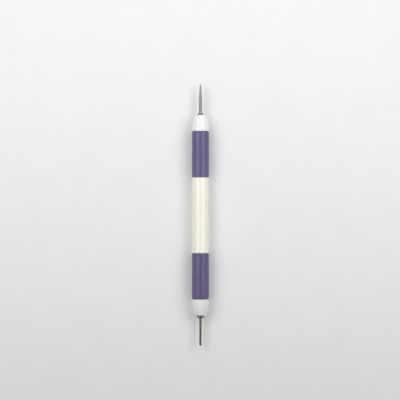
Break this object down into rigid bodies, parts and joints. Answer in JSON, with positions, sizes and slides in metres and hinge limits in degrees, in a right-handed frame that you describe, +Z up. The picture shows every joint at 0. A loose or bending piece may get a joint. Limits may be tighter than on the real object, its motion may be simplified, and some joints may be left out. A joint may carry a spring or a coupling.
{
  "type": "quilling tool",
  "caption": "Double-ended paper quilling tool: tapered needle at one end, slotted pin at the other, hollow round barrel with soft grip sleeves.",
  "frame": {"origin": "on the surface the tool lies on, below the middle of its whole length", "axes": "+Y along the tool towards the needle's tip, +Z up, +X to the side; the slot's gap faces up and down, so it is open towards +X and -X"},
  "size_m": [0.0094, 0.143, 0.0094],
  "materials": {
    "ivory_plastic": "satin moulded",
    "white_plastic": "satin moulded",
    "purple_rubber": "smooth matte",
    "polished_steel": "polished",
    "pin_steel": "drawn wire",
    "collar_steel": "turned"
  },
  "bodies": {
    "root": {"barrel": "ivory_plastic", "needle_sleeve": "purple_rubber", "slot_sleeve": "purple_rubber", "needle_nose": "white_plastic", "slot_nose": "white_plastic", "needle": "polished_steel", "slotted_pin": "pin_steel", "needle_collar": "collar_steel", "slot_collar": "collar_steel"}
  },
  "joints": []
}
